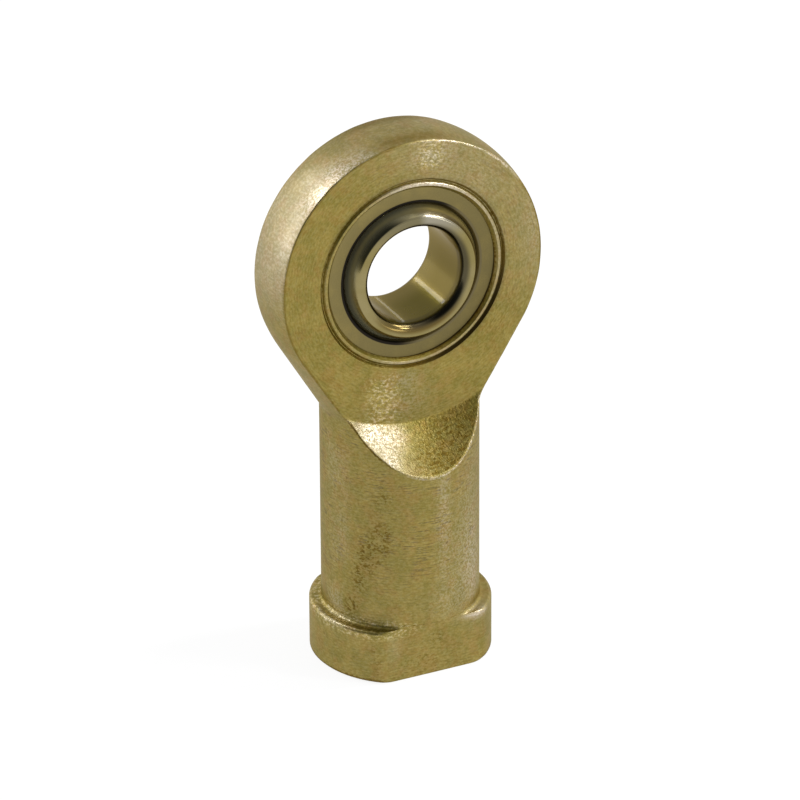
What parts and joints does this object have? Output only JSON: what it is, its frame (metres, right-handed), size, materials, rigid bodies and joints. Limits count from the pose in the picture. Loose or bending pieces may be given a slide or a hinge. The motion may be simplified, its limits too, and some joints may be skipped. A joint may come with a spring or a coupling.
{
  "type": "rod end",
  "caption": "Internally threaded rod end: an eye with a pressed-in spherical plain bearing on a round shank with a collar and spanner flats.",
  "frame": {"origin": "centre of the eye: on the bore's axis, midway between the eye's two flat faces", "axes": "+Y along the bore's axis, from the front face to the back face; +Z from the threaded shank up towards the eye, along the thread's axis; +X completes the right hand"},
  "size_m": [0.034, 0.0188, 0.067],
  "materials": {
    "housing": "steel, zinc plated and yellow chromated, satin",
    "outer_ring": "bearing steel, turned and dark finished, semi-matt",
    "inner_ring": "hardened bearing steel, ground and polished"
  },
  "bodies": {
    "body": {"housing": "housing", "outer_ring": "outer_ring"},
    "ball": {"inner_ring": "inner_ring"}
  },
  "joints": [
    {"name": "ball_tilt", "type": "hinge", "parent": "body", "child": "ball", "pos_m": [0, 0, 0], "axis": [1, 0, 0], "range_deg": [-11, 11]}
  ]
}
